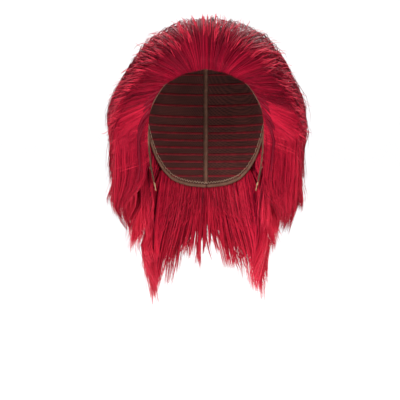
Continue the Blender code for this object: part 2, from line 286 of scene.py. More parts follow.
# root azimuth and level, middle azimuth and level, tip azimuth and level
frontSweeps = [
    (-60, 0.885, -75, 1.08, -94, 1.80), (-45, 0.742, -74, 0.84, -97, 1.52),
    (-22, 0.656, -72, 0.47, -116, 1.14), (0, 0.618, 0, 0.02, -180, 0.68),
    (22, 0.656, 72, 0.47, -244, 1.14), (45, 0.742, 74, 0.84, -263, 1.52),
    (60, 0.885, 75, 1.08, -266, 1.80),
]
leftSweeps = [
    (-52, 0.785, -75, 0.92, -99, 1.60), (-59, 0.875, -75, 1.08, -95, 1.88),
    (-63, 0.945, -73, 1.32, -91, 2.16), (-68, 0.985, -71, 1.50, -84, 2.38),
]
rightSweeps = [
    (52, 0.785, 75, 0.92, 99, 1.60), (59, 0.875, 75, 1.08, 95, 1.88),
    (63, 0.945, 73, 1.32, 91, 2.18), (68, 0.980, 66, 1.50, 83, 2.42),
]
# the locks of a row take these in turn
lockPattern = {
    "widths": (1.0, 0.75, 1.2, 0.85, 1.1),
    "lengths": (0.2, -0.9, 0.8, -0.3, 1.0, -0.6, 0.4),
    "swings": (0.3, -0.2, 0.5, -0.4),
}
# each piece of hair: its layer, its locks, the small locks in each (split) and its strands
# rest is how high its tips lie in the layer, flare how far they stand off, late the share of
# strands that start past the roots, short how much shorter some small locks are cut
# each piece's tone is painted light and shade: the lower pieces are lighter against the shade that the
# tiers over them cast, the front sweep darker
hairPieces = {
    "napeTails": {
        "node": "hair_nape", "layer": 0, "path": hangingPath(0), "locks": 18, "split": 6,
        "strands": 2700, "rest": 0.9, "tone": 0.46, "flare": 0.003, "late": 0.15, "short": 0.06,
        "feathers": 0.0, "seed": 11,
    },
    "lowerTier": {
        "node": "hair_lower", "layer": 1, "path": hangingPath(1), "locks": 18, "split": 6,
        "strands": 2500, "rest": 1.0, "tone": 0.54, "flare": 0.005, "late": 0.15, "short": 0.06,
        "feathers": 0.0, "seed": 12,
    },
    "middleTier": {
        "node": "hair_middle", "layer": 2, "path": hangingPath(2), "locks": 20, "split": 6,
        "strands": 2900, "rest": 1.0, "tone": 0.60, "flare": 0.006, "late": 0.15, "short": 0.06,
        "feathers": 0.0, "seed": 13,
    },
    "upperTier": {
        "node": "hair_upper", "layer": 3, "path": hangingPath(3), "locks": 18, "split": 6,
        "strands": 2500, "rest": 0.9, "tone": 0.34, "flare": 0.003, "late": 0.15, "short": 0.10,
        "feathers": 0.0, "seed": 14,
    },
    "crownTier": {
        "node": "hair_crown", "layer": 4, "path": hangingPath(4, 0.12), "locks": 16, "split": 6,
        "strands": 2500, "rest": 0.85, "tone": 0.12, "flare": 0.002, "late": 0.45, "short": 0.10,
        "feathers": 0.0, "seed": 15,
    },
    "frontSweep": {
        "node": "hair_front", "layer": hairline, "path": sweptPath(frontSweeps), "locks": 18,
        "split": 7, "strands": 4700, "rest": 0.30, "tone": -0.14, "flare": 0.003, "late": 0.45,
        "short": 0.20, "feathers": 0.22, "seed": 16,
    },
    "sideLockLeft": {
        "node": "side_lock_left", "layer": hairline, "path": sweptPath(leftSweeps), "locks": 5,
        "split": 6, "strands": 2500, "rest": 0.55, "tone": 0.12, "flare": 0.003, "late": 0.30,
        "short": 0.20, "feathers": 0.05, "seed": 17,
    },
    "sideLockRight": {
        "node": "side_lock_right", "layer": hairline, "path": sweptPath(rightSweeps), "locks": 5,
        "split": 6, "strands": 2500, "rest": 0.55, "tone": 0.12, "flare": 0.003, "late": 0.30,
        "short": 0.20, "feathers": 0.05, "seed": 18,
    },
}
# places along a lock or a strand are shares of it, from root to tip
strandForm = {
    "stations": (0.0, 0.12, 0.29, 0.47, 0.65, 0.81, 0.93, 1.0),
    "girth": (0.85, 1.0, 1.0, 1.0, 0.92, 0.78, 0.5),
    "radius": 0.00042,
    "radiusRange": (0.75, 1.3),
    "height": 0.7,  # a share of its width
    "firstStart": (0.0, 0.012),
    "lateStart": (0.05, 0.5),
    "lateRise": 0.14,
    "end": 1.02,
    "endScatter": 0.0495,
    "endRange": (0.60, 1.0),
    "edgeShorter": 0.04,
    "broken": 0.05,
    "brokenEnd": (0.62, 0.85),
    "shortest": 0.3,
    "bottom": 0.92,  # how far down in the layer the lowest strands lie
    "clearance": 0.0004,
    "inward": 0.05,
    "strays": 0.045,
    "strayLift": (-0.001, 0.006),
    "strayWander": 2.2,
    "wander": 0.0008,
    "turns": (0.6, 1.7),
    "outward": 0.3,
    "toneScatter": 0.085,
    # the next two darken a strand's tone as painted shade, lower in its layer and in the grooves at a
    # lock's edges
    "paintedDepthShade": 0.16,
    "paintedGrooveShade": 0.06,
}
lockForm = {
    "tipStart": 0.57,  # where a lock starts to narrow
    "narrowing": 0.45,
    "groove": 0.0035,
    "mostGroove": 0.45,  # of the layer's thickness
    "rootGroove": 0.35,  # of the groove at the tips
    "rootRise": 0.16,
    "hairlineRise": 0.30,
    "hairlineRoot": 0.003,
    "tipFloor": 0.1,
}
# the small locks that each lock parts into
smallForm = {
    "split": 0.42,
    "splitRange": (-0.10, 0.12),
    "narrowing": 0.94,
    "length": 0.9,
    "swing": 0.5,
    "lift": 0.0014,
    "liftRise": 0.3,
    "tone": 0.07,
    "spike": 0.013,  # most that a tip stands off
}
# short broken hairs that stand up in tufts from the crest
featherForm = {
    "tufts": 4,
    "tuftStart": (0.14, 0.44),
    "startScatter": 0.012,
    "length": (0.09, 0.20),
    "parting": 0.8,
    "depth": (0.8, 1.0),
    "lift": (0.001, 0.0065),
    # feathers take painted light: a lighter tone, and a way that starts at 0.7 so that they miss the
    # painted shade along the middle of each strand
    "paintedFeatherLight": 0.30,
    "way": 0.7,
}
coreForm = {
    "stations": (0.03, 0.08, 0.18, 0.30, 0.44, 0.55, 0.64, 0.72, 0.80),
    "girth": (0.35, 0.85, 1.0, 1.0, 1.0, 0.9, 0.7, 0.4),
    "depth": 0.30,
    "width": 0.85,
    "thickness": 0.22,  # of the layer's
    "thicknessRange": (0.0004, 0.002),
    # the cores' low tone is painted shade under the strands
    "tone": 0.16,
}
# each tube has a square cell of the bake map, with its end cap at the foot
bakeCell = {"margin": 0.08, "share": 0.84, "foot": 0.09, "capStep": 0.6, "capStart": (0.2, -0.05)}


def lockLanes(count):
    # left edge, middle, right edge, length and swing of each lock
    widths, lengths, swings = (np.resize(row, count) for row in lockPattern.values())
    edges = np.concatenate([[0.0], np.cumsum(widths) / sum(widths)])
    middles = (edges[:-1] + edges[1:]) / 2
    return np.stack([edges[:-1], middles, edges[1:], lengths, swings * np.diff(edges) / 2])


def acrossFrame(points):
    # unit vectors to the side of and out from a set of hairs
    along = np.gradient(points, axis=1)
    along /= np.linalg.norm(along, axis=-1, keepdims=True) + 1e-12
    out = points + [0.0, 0.0, head["rise"]]
    out[..., 1] -= np.interp(-points[..., 2] / head["rise"], rings[:, 0], rings[:, 3]) * head["halfDepth"]
    out[..., 2] = np.maximum(out[..., 2], 0.0)
    side = np.cross(along, out)
    side /= np.linalg.norm(side, axis=-1, keepdims=True) + 1e-12
    return side, np.cross(side, along)


def tubes(points, halfWidth, halfHeight, shade, sides):
    # closed tapered tubes: a ring at each station but the last, which is the tip
    count, stations = points.shape[:2]
    side, out = acrossFrame(points)
    angles = 2.0 * math.pi * (np.arange(sides) + 0.25) / sides
    offset = (side[:, :-1, None] * (halfWidth[..., None] * np.cos(angles))[..., None]
              + out[:, :-1, None] * (halfHeight[..., None] * np.sin(angles))[..., None])
    ring = points[:, :-1, None] + offset
    rows = stations - 1
    vertices = np.concatenate([ring.reshape(count, -1, 3), points[:, -1:]], axis=1)
    tint = np.concatenate([np.repeat(shade[:, :-1], sides, axis=1), shade[:, -1:]], axis=1)
    quads, quadCells, tips, tipCells = [], [], [], []
    for row in range(rows - 1):
        for i in range(sides):
            after = (i + 1) % sides
            quads.append((row * sides + i, row * sides + after,
                          (row + 1) * sides + after, (row + 1) * sides + i))
            quadCells.append(((i, row), (i + 1, row), (i + 1, row + 1), (i, row + 1)))
    for i in range(sides):
        after = (i + 1) % sides
        tips.append(((rows - 1) * sides + i, (rows - 1) * sides + after, rows * sides))
        tipCells.append(((i, rows - 1), (i + 1, rows - 1), (i + 0.5, rows)))
    cap = tuple(range(sides - 1, -1, -1))
    step, (capX, capY) = bakeCell["capStep"], bakeCell["capStart"]
    capCell = tuple((step * i + capX, -step * (i % 2) + capY) for i in range(sides))
    scale = np.array([sides, stations])
    faces = [(np.array(quads), np.array(quadCells) / scale),
             (np.array(tips), np.array(tipCells) / scale),
             (np.array([cap]), np.array([capCell]) / scale)]
    return vertices, tint, faces


def meshOfTubes(name, groups):
    # joins groups of tubes in one mesh, each tube with its own cell of the bake map
    cells = math.ceil(math.sqrt(sum(len(group[0]) for group in groups)))
    allPoints, allTints, corners, starts, maps = [], [], [], [], []
    first, tube, loops = 0, 0, 0
    for vertices, tint, faces in groups:
        count, each = vertices.shape[:2]
        base = first + each * np.arange(count)[:, None, None]
        number = tube + np.arange(count)
        corner = np.stack([number % cells, number // cells], axis=-1)[:, None, None]
        for face, cell in faces:
            corners.append((base + face).reshape(-1))
            inCell = bakeCell["margin"] + bakeCell["share"] * (cell + [0.0, bakeCell["foot"]])
            maps.append(((corner + inCell) / cells).reshape(-1, 2))
            size = face.shape[1]
            starts.append(loops + size * np.arange(count * len(face)))
            loops += count * face.size
        allPoints.append(vertices.reshape(-1, 3))
        allTints.append(tint.reshape(-1, 3))
        first += count * each
        tube += count
    points, corners = np.concatenate(allPoints), np.concatenate(corners)
    tints, starts = np.concatenate(allTints), np.concatenate(starts)
    data = bpy.data.meshes.new(name)
    data.vertices.add(len(points))
    data.vertices.foreach_set("co", points.astype(np.float32).ravel())
    data.loops.add(len(corners))
    data.loops.foreach_set("vertex_index", corners.astype(np.int32))
    data.polygons.add(len(starts))
    data.polygons.foreach_set("loop_start", starts.astype(np.int32))
    data.update(calc_edges=True)
    bakeMap = data.uv_layers.new(name="OFBake")
    bakeMap.data.foreach_set("uv", np.concatenate(maps).astype(np.float32).ravel())
    strand = data.color_attributes.new("strand", "FLOAT_COLOR", "POINT")
    rgba = np.concatenate([tints, np.ones((len(tints), 1))], axis=1)
    strand.data.foreach_set("color", rgba.astype(np.float32).ravel())
    data.validate()
    data.shade_smooth()
    obj = bpy.data.objects.new(name, data)
    bpy.context.collection.objects.link(obj)
    return obj


def towardsTip(along):
    # from 0 where a lock starts to narrow to 1 at its tip
    return np.clip((along - lockForm["tipStart"]) / (1.0 - lockForm["tipStart"]), 0.0, 1.0)


def hairLift(care, azimuth, level, along, depth, edge):
    # height over the form of hair at a depth of its layer, lower at the edges of a lock
    inner, outer = layerLifts(care["layer"], azimuth, level)
    if care["layer"] == hairline:
        thin = np.minimum(outer, inner + lockForm["hairlineRoot"])
        outer = mix(thin, outer, smooth(along / lockForm["hairlineRise"]))
    inner = inner + head["bodyGap"] * smooth(along / lockForm["rootRise"])
    outer = np.maximum(outer, inner + head["layerGap"] / 2)
    lowered = outer - edge * np.minimum(lockForm["groove"], lockForm["mostGroove"] * (outer - inner))
    floor = lockForm["tipFloor"]
    tip = mix(inner, outer, floor + (care["rest"] - floor) * depth) + care["flare"] * depth
    return mix(mix(inner, lowered, depth), tip, towardsTip(along) ** 1.5)


def smallLocks(rng, care, key):
    # what all strands of a small lock share
    grid = (care["locks"], care["split"])
    return {
        "length": rng.uniform(-smallForm["length"], smallForm["length"], grid)[key],
        "swing": rng.normal(0.0, smallForm["swing"], grid)[key],
        "split": rng.uniform(*smallForm["splitRange"], grid)[key] + smallForm["split"],
        "lift": rng.uniform(-smallForm["lift"], smallForm["lift"], grid)[key],
        "tone": rng.normal(0.0, smallForm["tone"], grid)[key],
        "spike": smallForm["spike"] * rng.uniform(0.0, 1.0, grid)[key] ** 2,
    }


def strandSpans(rng, care, key, spread):
    # which strands start late, and where each starts and ends along its lock
    form, size = strandForm, spread.shape
    late = rng.uniform(0.0, 1.0, size) < care["late"]
    start = np.where(late, rng.uniform(*form["lateStart"], size), rng.uniform(*form["firstStart"], size))
    end = form["end"] - form["edgeShorter"] * spread
    end = end - form["endScatter"] * np.abs(rng.normal(0.0, 1.0, size))
    shorter = rng.uniform(0.0, 1.0, (care["locks"], care["split"]))[key] ** 1.5
    end = np.clip(end, *form["endRange"]) - care["short"] * shorter
    broken = rng.uniform(0.0, 1.0, size) < form["broken"]
    end = np.where(broken, rng.uniform(*form["brokenEnd"], size), end)
    return late, start, np.maximum(end, start + form["shortest"])


def featherSpans(rng, care, key, start, end):
    # which strands are feathers, with the spans of all strands
    form, size = featherForm, start.shape
    feather = rng.uniform(0.0, 1.0, size) < care["feathers"]
    tuft = rng.integers(0, form["tufts"], size)
    grid = (care["locks"], care["split"], form["tufts"])
    tuftStart = rng.uniform(*form["tuftStart"], grid)[(*key, tuft)]
    start = np.where(feather, tuftStart + rng.normal(0.0, form["startScatter"], size), start)
    return feather, start, np.where(feather, start + rng.uniform(*form["length"], size), end)


def strandShade(rng, care, base, depth, edge, feather, stations):
    # red is the strand's tone, with painted shade and painted light in it, green the way from root to tip,
    # blue a second tone
    size = feather.shape
    tone = 0.5 + care["tone"] + featherForm["paintedFeatherLight"] * feather + base
    tone = tone + rng.normal(0.0, strandForm["toneScatter"], size)
    # painted shade: strands lower in their layer and in the grooves at a lock's edges are darker
    tone = tone - strandForm["paintedDepthShade"] * (1.0 - depth) - strandForm["paintedGrooveShade"] * edge
    way = np.where(feather, mix(featherForm["way"], 1.0, stations), stations)
    second = np.broadcast_to(rng.uniform(0.0, 1.0, size), way.shape)
    return np.stack([np.clip(tone, 0.0, 1.0), way, second], axis=-1)


def combStrands(care):
    rng = np.random.default_rng(care["seed"])
    count, split = care["strands"], care["split"]
    size = (count, 1)
    stations = np.array(strandForm["stations"])
    lanes = lockLanes(care["locks"])
    width = lanes[2] - lanes[0]
    lock = rng.choice(care["locks"], count, p=width / width.sum())
    left, middle, right, length, swing = lanes[:, lock][..., None]
    # each strand's place across its lock, and the small lock that it falls in
    place = rng.uniform(-1.0, 1.0, size)
    number = np.minimum(((place + 1.0) / 2 * split).astype(int), split - 1)
    smallMiddle = (2 * number + 1) / split - 1.0
    spread = np.abs(place - smallMiddle) * split
    key = (lock[:, None], number)
    small = smallLocks(rng, care, key)
    late, start, end = strandSpans(rng, care, key, spread)
    feather, start, end = featherSpans(rng, care, key, start, end)
    late = late | feather
    along = mix(start, end, stations)
    down = towardsTip(along)
    parted = np.clip((along - small["split"]) / (1.0 - small["split"]), 0.0, 1.0)
    parted = np.where(feather, featherForm["parting"] * stations, parted)
    stray = np.where(rng.uniform(0.0, 1.0, size) < strandForm["strays"], 1.0, 0.0)
    # the strands draw together towards the tips, first in their small locks
    lockPlace = smallMiddle * (1.0 - lockForm["narrowing"] * down ** 2.2)
    lockPlace = lockPlace + (place - smallMiddle) * (1.0 - smallForm["narrowing"] * parted ** 1.5)
    lockPlace = lockPlace + small["swing"] * parted ** 2
    across = middle + (right - left) / 2 * lockPlace + swing * down ** 2
    across = mix(0.5, across, 1.0 - strandForm["inward"] * rng.uniform(0.0, 1.0, size))
    # what would pass the band's ends folds back into it
    across = 1.0 - np.abs(1.0 - np.abs(across))
    azimuth, level = care["path"](across, along, (length + small["length"]) * smooth(down))
    depth = 1.0 - strandForm["bottom"] * rng.uniform(0.0, 1.0, size) ** 1.5
    depth = np.where(feather, rng.uniform(*featherForm["depth"], size), depth)
    edge = np.clip(spread, 0.0, 1.0) ** 2 * mix(lockForm["rootGroove"], 1.0, parted)
    lift = hairLift(care, azimuth, level, along, depth, edge)
    lift = lift + small["lift"] * smooth(along / smallForm["liftRise"])
    root = layerLifts(care["layer"], azimuth, level)[0]
    lift = np.where(late, mix(root, lift, smooth((along - start) / strandForm["lateRise"])), lift)
    lift = lift + stray * rng.uniform(*strandForm["strayLift"], size) * smooth(stations) ** 2
    lift = lift + feather * rng.uniform(*featherForm["lift"], size) * stations ** 2
    lift = lift + small["spike"] * parted ** 3
    points = headPoint(azimuth, level, np.maximum(lift, head["seat"] + strandForm["clearance"]))
    # slow waves to the side and outwards
    side, out = acrossFrame(points)
    phase = rng.uniform(0.0, 1.0, size)
    turns = rng.uniform(*strandForm["turns"], size)
    wander = strandForm["wander"] * (0.5 + strandForm["strayWander"] * stray)
    wander = wander * np.minimum(3.0 * stations, 1.0)
    points += side * (wander * np.sin(2 * math.pi * (turns * stations + phase)))[..., None]
    wander = strandForm["outward"] * wander
    points += out * (wander * np.sin(2 * math.pi * (turns * stations + 2 * phase)))[..., None]
    shade = strandShade(rng, care, small["tone"], depth, edge, feather, stations)
    radius = strandForm["radius"] * rng.uniform(*strandForm["radiusRange"], size)
    radius = radius * np.array(strandForm["girth"])
    return tubes(points, radius, strandForm["height"] * radius, shade, 3)


def combCores(care):
    # the dense middle of each lock, under its strands, dark in tone as painted shade
    middle, right, length, swing = lockLanes(care["locks"])[1:, :, None]
    along = np.array(coreForm["stations"]) + np.zeros_like(middle)
    girth = np.array(coreForm["girth"])
    down = towardsTip(along)
    azimuth, level = care["path"](middle + swing * down ** 2, along, length * smooth(down))
    lift = hairLift(care, azimuth, level, along, coreForm["depth"], 0.0)
    points = headPoint(azimuth, level, lift)
    # half the lock's width, measured between its middle and its edge
    still = np.zeros_like(along)
    edgeWay = headPoint(*care["path"](right + still, along, still), lift)
    middleWay = headPoint(*care["path"](middle + still, along, still), lift)
    half = np.linalg.norm(edgeWay - middleWay, axis=-1)[:, :-1]
    half = half * (1.0 - down[:, :-1] ** 1.6) * girth
    inner, outer = layerLifts(care["layer"], azimuth, level)
    thick = np.clip(coreForm["thickness"] * (outer - inner), *coreForm["thicknessRange"])[:, :-1] * girth
    shade = np.stack([still + coreForm["tone"], along, still + 0.5], axis=-1)
    return tubes(points, coreForm["width"] * half, thick, shade, 6)


def hairFinish():
    material, shader, place = newFinish("crimsonFibre", Specular_IOR_Level=0.08)
    strand = place.node("ShaderNodeAttribute", {"attribute_name": "strand"}, {}, "Color")
    tone, way, second = (strand.node("ShaderNodeSeparateColor", {}, {0: strand}, part)
                         for part in ("Red", "Green", "Blue"))
    body = tone.colours((0.0, (0.05, 0.0003, 0.004)), (0.28, (0.17, 0.001, 0.011)),
                        (0.52, (0.36, 0.003, 0.022)), (0.78, (0.62, 0.012, 0.042)),
                        (1.0, (0.86, 0.028, 0.072)))
    cool = body.blend(second * 0.25, (0.28, 0.002, 0.030))
    # painted light: the tips turn lighter and pinker, as if light shone through them
    paintedTipLight = cool.blend((way ** 4.0) * 0.35, (0.66, 0.05, 0.08))
    # painted shade: darker at the roots, where the strands go under the hair into the cap
    paintedRootShade = paintedTipLight.blend((1.0 - way) ** 9.0 * 0.3, (0.14, 0.002, 0.010))
    shaded = way.colours((0.0, (1.0, 1.0, 1.0)), (0.10, (0.98, 0.98, 0.98)), (0.34, (0.72, 0.72, 0.73)),
                         (0.60, (0.93, 0.93, 0.93)), (0.85, (1.0, 1.0, 1.0)))
    feed(place.tree, shader.inputs["Base Color"], paintedRootShade.blend(1.0, shaded, "MULTIPLY"))
    feed(place.tree, shader.inputs["Roughness"], 0.34 + second * 0.16)
    return material


hairMaterial = hairFinish()
for pieceName, care in hairPieces.items():
    piece = meshOfTubes(pieceName, [combStrands(care), combCores(care)])
    addPiece(piece, hairMaterial, care["node"])
    print("hair piece made:", pieceName, len(piece.data.polygons), "faces")


def netFinish():
    material, shader, place = newFinish("brownNet", Roughness=0.85, Specular_IOR_Level=0.2)
    mesh = place.wave("Z", 160.0) * place.wave("DIAGONAL", 160.0)
    colour = mesh.colours((0.1, (0.085, 0.022, 0.018)), (0.6, (0.028, 0.010, 0.008)))
    shadow = place.noise(30.0).colours((0.35, (0.7, 0.7, 0.7)), (0.7, (1.0, 1.0, 1.0)))
    feed(place.tree, shader.inputs["Base Color"], colour.blend(1.0, shadow, "MULTIPLY"))
    feed(place.tree, shader.inputs["Normal"], mesh.bump(0.6, 0.0006))
    return material


def wovenFinish(name, light, dark, thread):
    # a woven tape: threads both ways, a little uneven in colour
    material, shader, place = newFinish(name, Roughness=0.82, Specular_IOR_Level=0.2)
    weave = place.wave("Z", thread) * place.wave("X", thread)
    mottled = place.noise(180.0).colours((0.3, dark), (0.7, light))
    deep = tuple(0.45 * value for value in dark)
    feed(place.tree, shader.inputs["Base Color"], mottled.blend(weave * 0.5, deep))
    feed(place.tree, shader.inputs["Normal"], weave.bump(0.5, 0.0004))
    return material


capForm = {
    # azimuth from the face in degrees and level of the cap's lower edge
    "edge": [
        (0, 0.600), (18, 0.625), (35, 0.668), (46, 0.724), (56, 0.805), (61, 0.880), (66, 0.960),
        (80, 1.000), (92, 1.030), (104, 1.120), (116, 1.420), (135, 1.720), (155, 1.820), (180, 1.850),
    ],
    "columns": 108,
    "rows": 40,
    "wall": 0.0016,
    # insets are shares of the rise over the cap's edge, lifts are outwards from its inner face
    "wefts": {"first": 0.20, "step": 0.094, "count": 17, "inset": 0.03, "low": 0.05, "lift": -0.0003,
              "halfWidth": 0.0017, "halfHeight": 0.0005},
    "crownTapes": {"azimuths": (0, 90), "inset": 0.03, "lift": -0.0009, "halfWidth": 0.0035,
                   "halfHeight": 0.0006},
    "binding": {"inset": 0.012, "lift": 0.0008, "halfWidth": 0.0022, "halfHeight": 0.0013},
    "lining": {"reach": 70.0, "inset": 0.085, "lift": -0.0006, "halfWidth": 0.0065, "halfHeight": 0.0004},
    "stitches": {"count": 230, "inset": 0.055, "lift": -0.0011, "radius": 0.00028, "swing": 0.0013},
}


def capEdge(azimuth):
    # level of the edge, in straight runs of ten degrees
    table = np.array(capForm["edge"])
    columns = np.arange(0.0, 181.0, 10.0)
    return np.interp(fromFace(azimuth), columns, np.interp(columns, table[:, 0], table[:, 1]))


def shadeOf(points):
    return np.full((*points.shape[:2], 3), 0.5)


def flatTubes(name, ways, halfWidth, halfHeight, sides=4):
    # tapes and threads along ways over the cap, each way a row of points
    groups = []
    for points in ways:
        points = np.array(points)[None]
        wide = np.full((1, points.shape[1] - 1), halfWidth)
        groups.append(tubes(points, wide, wide * halfHeight / halfWidth, shadeOf(points), sides))
    return meshOfTubes(name, groups)


def shellOf(name, points, wall, closed=False, bevel=0.0):
    # a wall that stands outwards on a grid of points, closed round the crown or open
    rows, columns = points.shape[:2]
    faces = []
    for row in range(rows - 1):
        for i in range(columns if closed else columns - 1):
            a, b = row * columns + i, row * columns + (i + 1) % columns
            faces.append((b, a, a + columns, b + columns))
    corners = [tuple(point) for point in points.reshape(-1, 3)]
    if closed:
        faces += [(len(corners), i, (i + 1) % columns) for i in range(columns)]
        corners.append((0.0, 0.0, 0.0))
    data = bpy.data.meshes.new(name)
    data.from_pydata(corners, [], faces)
    data.shade_smooth()
    shell = bpy.data.objects.new(name, data)
    bpy.context.collection.objects.link(shell)
    deselectAll()
    shell.select_set(True)
    bpy.context.view_layer.objects.active = shell
    thicken = shell.modifiers.new("wall", "SOLIDIFY")
    thicken.thickness = wall
    thicken.offset = 1.0
    bpy.ops.object.modifier_apply(modifier="wall")
    if bevel:
        rounded = shell.modifiers.new("edges", "BEVEL")
        rounded.width = bevel
        rounded.segments = 2
        rounded.angle_limit = math.radians(50.0)
        bpy.ops.object.modifier_apply(modifier="edges")
    return shell


def buildCapShell():
    azimuth = np.linspace(0.0, 2.0 * math.pi, capForm["columns"], endpoint=False)
    share = np.arange(1, capForm["rows"] + 1)[:, None] / capForm["rows"]
    inside = headPoint(azimuth, capEdge(azimuth) * share, 0.0)
    return shellOf("netShell", inside, capForm["wall"], closed=True)


def weftWays():
    # sewn rows of hair, across the inside of the cap down to its edge
    table, care = np.array(capForm["edge"]), capForm["wefts"]
    for i in range(care["count"]):
        level = care["first"] + i * care["step"]
        low = level + care["inset"]
        start = np.interp(low, table[:, 1], table[:, 0]) if low > table[0, 1] else 0.0
        if level + care["low"] < table[-1, 1]:
            azimuth = np.radians(np.linspace(start, 360.0 - start, 90))
            yield headPoint(azimuth, level, care["lift"])


def crownTapeWays():
    care = capForm["crownTapes"]
    for degrees in care["azimuths"]:
        near = math.radians(degrees)
        far = near + math.pi
        down = np.linspace(capEdge(near) - care["inset"], 0.0, 20)
        up = np.linspace(0.0, capEdge(far) - care["inset"], 40)[1:]
        yield np.concatenate([headPoint(near, down, care["lift"]), headPoint(far, up, care["lift"])])


def stitchWays():
    care = capForm["stitches"]
    azimuth = np.linspace(0.0, 2.0 * math.pi, care["count"] + 1)
    for i, (start, end) in enumerate(zip(azimuth, azimuth[1:])):
        turn = care["swing"] / head["rise"] * (1.0 if i % 2 else -1.0)
        ways = np.linspace(start, end, 4)
        levels = capEdge(ways) - care["inset"] + turn * np.linspace(-1.0, 1.0, 4)
        yield headPoint(ways, levels, care["lift"])


net = netFinish()
bindingCloth = wovenFinish("brownBinding", (0.20, 0.10, 0.065), (0.13, 0.06, 0.04), 420.0)
weftCloth = wovenFinish("sewnWeft", (0.24, 0.012, 0.020), (0.13, 0.008, 0.012), 700.0)
tape = wovenFinish("beigeTape", (0.62, 0.44, 0.30), (0.50, 0.33, 0.21), 420.0)
elastic = wovenFinish("tanElastic", (0.20, 0.10, 0.06), (0.12, 0.055, 0.035), 500.0)

addPiece(buildCapShell(), net, "cap")
care = capForm["wefts"]
addPiece(flatTubes("weftRows", weftWays(), care["halfWidth"], care["halfHeight"]), weftCloth)
care = capForm["crownTapes"]
addPiece(flatTubes("crownTapes", crownTapeWays(), care["halfWidth"], care["halfHeight"]),
         bindingCloth)
care = capForm["binding"]
wholeTurn = np.linspace(math.pi, 3.0 * math.pi, 181)
edgeWay = headPoint(wholeTurn, capEdge(wholeTurn) - care["inset"], care["lift"])
addPiece(flatTubes("edgeBinding", [edgeWay], care["halfWidth"], care["halfHeight"], 8),
         bindingCloth)
care = capForm["lining"]
front = np.radians(np.linspace(-care["reach"], care["reach"], 60))
liningWay = headPoint(front, capEdge(front) - care["inset"], care["lift"])
addPiece(flatTubes("frontLining", [liningWay], care["halfWidth"], care["halfHeight"]), tape)
care = capForm["stitches"]
addPiece(flatTubes("edgeStitches", stitchWays(), care["radius"], care["radius"]), tape)

sewnForm = {
    "gap": 0.005,  # a share of the rise, like the lengths
    "rows": 32,
    "columns": 20,
    "bevel": 0.0003,
    "thread": 0.00028,
    "proud": 0.0002,
    "tab": {"azimuth": 80.0, "drift": 0.0, "width": 0.016, "length": 0.34, "point": 0.5, "wall": 0.0014,
            "round": 0.16, "rib": 0.0},
    "stay": {"from": 0.03, "to": 0.84, "halfWidth": 0.0010, "halfHeight": 0.0005},
    # first, last and step of the stitches, and how long each is
    "seams": {"down": (0.04, 0.84, 0.055), "long": 0.036, "edge": 0.84, "over": (-0.75, 0.70, 0.25),
              "wide": 0.17, "top": 0.05, "lift": 0.0003},
    "strap": {"azimuth": 104.0, "drift": -7.0, "width": 0.009, "length": 0.62, "point": 0.0, "wall": 0.0012,
              "round": 0.0, "rib": 0.00022},
    "cords": 0.97,
    "loops": {"shares": (0.18, 0.36, 0.54, 0.72), "reach": 0.9, "lift": 0.0004, "arch": 0.0008,
              "halfWidth": 0.0011, "halfHeight": 0.0005},
    # across the strap and down the hook's own length
    "hook": {"gap": 0.012, "drop": 0.12, "wire": 0.00062, "ringWide": 0.86, "ringTop": 0.05,
             "ringFoot": 0.36, "neck": 0.6, "bendAt": (0.34, 0.78), "bendSize": (0.34, -0.17)},
}


def stripPoint(turn, care, across, share, lift):
    # across runs from -1 to 1 over the strip's width, share from 0 to 1 down it
    azimuth = turn * math.radians(care["azimuth"])
    end = capEdge(azimuth) + care["length"]
    half = care["width"] / 2 * (1.0 - care["point"] * share ** 3)
    if care["round"]:
        past = np.clip((share - 1.0 + care["round"]) / care["round"], 0.0, 0.97)
        half = half * np.sqrt(1.0 - past ** 2)
    beside = azimuth + across * half / head["halfDepth"]
    level = mix(capEdge(beside) + sewnForm["gap"], end, share)
    return headPoint(beside + turn * math.radians(care["drift"]) * share, level, lift)


def sewnStrip(name, turn, care):
    share = np.linspace(0.0, 1.0, sewnForm["rows"] + 1)[:, None]
    across = np.linspace(-1.0, 1.0, sewnForm["columns"] + 1)[None]
    lift = care["rib"] * (1.0 - np.cos(across * 5.0 * math.pi)) / 2.0  # five ribs
    points = stripPoint(turn, care, across, share, lift)
    return shellOf(name, points, care["wall"], bevel=sewnForm["bevel"])


def tabStitches(turn, care):
    seams = sewnForm["seams"]
    lift = care["wall"] + seams["lift"]
    for start in np.arange(*seams["down"]):
        for across in (-seams["edge"], seams["edge"]):
            yield stripPoint(turn, care, across, start + np.linspace(0.0, seams["long"], 4), lift)
    for start in np.arange(*seams["over"]):
        yield stripPoint(turn, care, start + np.linspace(0.0, seams["wide"], 4), seams["top"], lift)


def strapEdges(turn, care):
    share = np.linspace(0.0, 1.0, 30)
    for across in (-sewnForm["cords"], sewnForm["cords"]):
        yield stripPoint(turn, care, across, share, care["wall"] / 2)


def strapLoops(turn, care):
    loops = sewnForm["loops"]
    across = np.linspace(-loops["reach"], loops["reach"], 12)
    lift = care["wall"] + loops["lift"] + loops["arch"] * (1.0 - across ** 2)
    for share in loops["shares"]:
        yield stripPoint(turn, care, across, share, lift)


